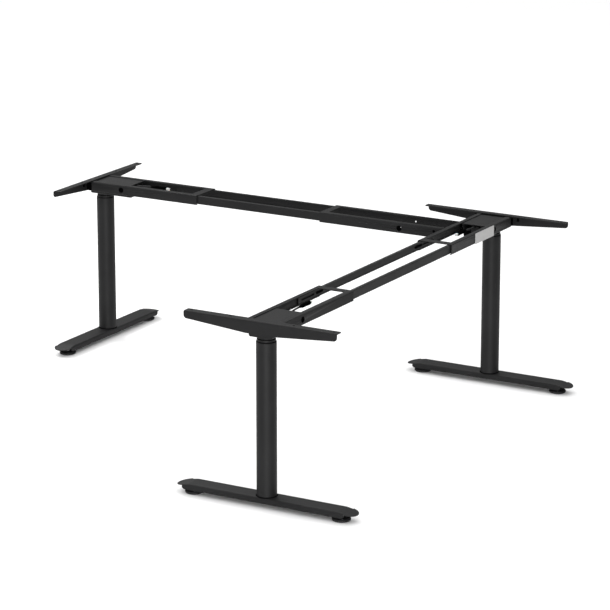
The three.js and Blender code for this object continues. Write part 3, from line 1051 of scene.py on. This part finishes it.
def leg_pieces():
    """Every piece of a leg: name, shape, body, finish and the CAD node that it stands for."""
    tube_outside = {part: leg_span(part)[1].x for part in ("mid_tube", "inner_tube")}
    pad, stem = glide_pad(), glide_stem()
    nut = moved(hex_nut(LOCK_NUT["flats"], LOCK_NUT["height"], GLIDE_STEM + 0.1), z=LOCK_NUT["up"])
    foot_high, head_high = leg_span("foot")[1], leg_span("head_frame")[1]
    boss = moved(hex_nut(17, BOSS_HEIGHT, GLIDE_STEM + 0.5), z=foot_high.z - FOOT_SHEET - BOSS_HEIGHT - 0.1)
    pieces = [
        ("foot_sheet", foot(), "base", "black_coat", "foot"),
        ("column_tube", column_tube("outer_tube"), "base", "black_coat", "outer_tube"),
        # The weld ring is in the painted-shade black, not the coat: it paints the shadow line where the
        # column meets the foot.
        ("column_weld_painted_shade", weld_bead(leg_span("outer_tube")[1].x, foot_high.z + 0.05, 2.4), "base",
         "painted_shade_black", None),
        # The collars are black plastic; their near-unlit black also paints the shade in the gap at the top of
        # each tube.
        ("guide_collar", collar("outer_collar", tube_outside["mid_tube"] + COLLAR_PLAY,
                                leg_span("outer_tube")[1].x - TUBE_WALL - COLLAR_PLAY), "base", "painted_shade_black",
         "outer_collar"),
        ("nut_pipe", stand_pipe(), "base", "zinc_steel", "stand_pipe"),
        ("middle_tube", mid_tube(), "mid", "black_coat", "mid_tube"),
        ("inner_collar", collar("mid_collar", tube_outside["inner_tube"] + COLLAR_PLAY,
                                tube_outside["mid_tube"] - TUBE_WALL - COLLAR_PLAY), "mid", "painted_shade_black",
         "mid_collar"),
        ("hollow_spindle", lower_spindle(), "lower_spindle", "zinc_steel", "lower_spindle"),
        ("top_tube", column_tube("inner_tube"), "frame", "black_coat", "inner_tube"),
        ("drive_spindle", upper_spindle(), "upper_spindle", "zinc_steel", "upper_spindle"),
        ("drive_tray", motor_tray(), "frame", "black_coat", "motor_tray"),
        ("gear_case", gearbox(), "frame", "cast_alloy", "gearbox"),
        ("motor_can", motor_can(), "frame", "zinc_steel", "motor"),
        ("motor_cap", motor_cap(), "frame", "black_coat", None),
        # The plug is black plastic; its near-unlit black also paints shade over its lit top.
        ("plug_body", plug_body(), "frame", "painted_shade_black", "motor_plug"),
        ("plug_tail", plug_tail(), "frame", "black_plastic", None),
        ("plug_tip", plug_tip(), "frame", "nylon", None),
        ("cover_sheet", cover_plate(), "frame", "black_coat", "cover_plate"),
        ("head_rails", head_frame(), "frame", "black_coat", "head_frame"),
        ("head_pads", guide_pads(head_high.x - PAD_SETBACK - PAD_LENGTH, head_high.y - RAIL_SHEET),
         "frame", "black_plastic", None),
        ("top_bracket", side_bracket(), "frame", "black_coat", "side_bracket"),
        ("bracket_spacer_painted_shade", bracket_spacer_painted_shade(), "frame", "painted_shade_black", None),
        # The bungs are in the painted-shade black: they fill the cable holes with black, the shade inside the
        # holes painted on.
        ("cable_bungs", head_bungs(), "frame", "painted_shade_black", None),
        ("bracket_screws", bracket_screws(), "frame", "zinc_steel", None),
        ("bracket_nuts", bracket_nuts(), "frame", "painted_shade_black", None),
    ]
    for mark, side in (("a", 1), ("b", -1)):
        body = f"glide_{mark}"
        offset = Matrix.Translation((0, side * GLIDE_OFFSET, 0))
        for name, mesh, rides, finish, node in (
            (f"glide_pad_{mark}", pad, body, "black_plastic", body),
            (f"glide_stem_{mark}", stem, body, "zinc_steel", None),
            (f"glide_nut_{mark}", nut, body, "zinc_steel", None),
            (f"foot_boss_{mark}", boss, "base", "black_coat", None),
        ):
            shape = mesh.copy()
            shape.transform(offset)
            pieces.append((name, shape, rides, finish, node))
    return pieces


def show_legs():
    pieces = leg_pieces()
    for leg in TURNS:
        for name, mesh, body, finish, node in pieces:
            nodes = [f"{leg}_{node}"] if node else []
            show(f"{leg}_{name}", mesh, leg, f"{leg}_{body}", finish, *nodes)


def show_beams():
    rails = (
        ("long_rail_front", "left", -1, "long_rails"),
        ("long_rail_back", "left", 1, "long_rails"),
        ("short_rail_left", "corner", -1, "short_rails"),
        ("short_rail_right", "corner", 1, "short_rails"),
    )
    for node, leg, side, body in rails:
        show(f"{node}_section", mid_rail(node, leg, side), leg, body, "black_coat", node)
    # The clamp bars are in the painted-shade black, which paints the slots in the short rails black as shade.
    for side, node in ((-1, "short_rail_left"), (1, "short_rail_right")):
        show(f"{node}_clamps", clamp_bars(side), "corner", "short_rails", "painted_shade_black")
    show("long_channel_section", long_channel(), "left", "corner_frame", "black_coat", "long_channel")
    channel_low, channel_high = span("long_channel", "left")
    pads = guide_pads(channel_low.x + PAD_SETBACK, channel_high.y - RAIL_SHEET)
    # The plug and the bung are in the painted-shade black, which paints the small hole and the cable hole as
    # dark shade.
    for name, mesh, finish in (
        ("pads", pads, "black_plastic"),
        ("plug", channel_plug(), "painted_shade_black"),
        ("bung", channel_bung(), "painted_shade_black"),
        ("end", channel_end_plate(), "black_coat"),
        ("bolts", channel_bolts(), "painted_shade_black"),
    ):
        show(f"long_channel_{name}", mesh, "left", "corner_frame", finish)
    show("blank_plate", name_plate(), "corner", "corner_frame", "satin_plate", "name_plate")
    show("blank_plate_rivets", plate_rivets(), "corner", "corner_frame", "satin_plate")


# ---------------------------------------------------------------- floor, light and camera
def add_floor():
    mesh = bpy.data.meshes.new("floor")
    reach = 40
    mesh.from_pydata([(-reach, -reach, 0), (reach, -reach, 0), (reach, reach, 0), (-reach, reach, 0)],
                     [], [(0, 1, 2, 3)])
    floor = bpy.data.objects.new("floor", mesh)
    floor.location.z = -0.0002
    bpy.context.scene.collection.objects.link(floor)
    material = bpy.data.materials.new("pale_floor")
    material.use_nodes = True
    shader = material.node_tree.nodes["Principled BSDF"]
    shader.inputs["Base Color"].default_value = (0.86, 0.86, 0.86, 1)
    shader.inputs["Roughness"].default_value = 0.6
    shader.inputs["Specular IOR Level"].default_value = 0.2
    mesh.materials.append(material)


SOFTBOXES = (  # name, location, target, width and height in metres, power in watts
    ("overhead", (0, 0, 12), (0, 0, 0), 44, 44, 8200),
    ("key", (3.5, -7, 4), (0, 0, 0.3), 2.0, 2.0, 60),
    ("fill", (4.9, -8.2, 1.0), (-0.2, 0, 0.35), 1.2, 1.5, 650),
    ("rim", (-3.0, 1.2, 2.4), (-0.9, 0.4, 0.4), 1.5, 1.5, 50),
    ("side", (-6.5, -5.0, 1.3), (0, 0, 0.4), 1.5, 2.2, 60),
)
CAMERA_PLACE = (4.9396, -10.0228, 3.3700)  # metres from the foot of the corner column
CAMERA_TILT = 0.2684  # radians below level
CAMERA_TURN = 0.5214
CAMERA_LENS = 178.67


def add_softbox(name, location, target, width, height, power):
    light = bpy.data.lights.new(name, "AREA")
    light.shape = "RECTANGLE"
    light.size, light.size_y = width, height
    light.energy = power
    obj = bpy.data.objects.new(name, light)
    obj.location = location
    obj.rotation_euler = (Vector(target) - Vector(location)).to_track_quat("-Z", "Y").to_euler()
    bpy.context.scene.collection.objects.link(obj)


def add_light():
    world = bpy.data.worlds.new("studio")
    world.use_nodes = True
    background = world.node_tree.nodes["Background"]
    background.inputs["Color"].default_value = (1, 1, 1, 1)
    background.inputs["Strength"].default_value = 0.18
    bpy.context.scene.world = world
    for softbox in SOFTBOXES:
        add_softbox(*softbox)
    bpy.context.scene.view_settings.view_transform = "Standard"


def add_camera():
    """Camera at a height of 3.4 m, 11 m from the frame, with a long lens."""
    camera = bpy.data.cameras.new("camera")
    camera.lens = CAMERA_LENS
    camera.sensor_width = 36
    obj = bpy.data.objects.new("camera", camera)
    obj.location = PLACES["corner"].translation + Vector(CAMERA_PLACE)
    obj.rotation_euler = (pi / 2 - CAMERA_TILT, 0, CAMERA_TURN)
    bpy.context.scene.collection.objects.link(obj)
    bpy.context.scene.camera = obj


add_camera()
add_floor()
add_light()
show_legs()
show_beams()
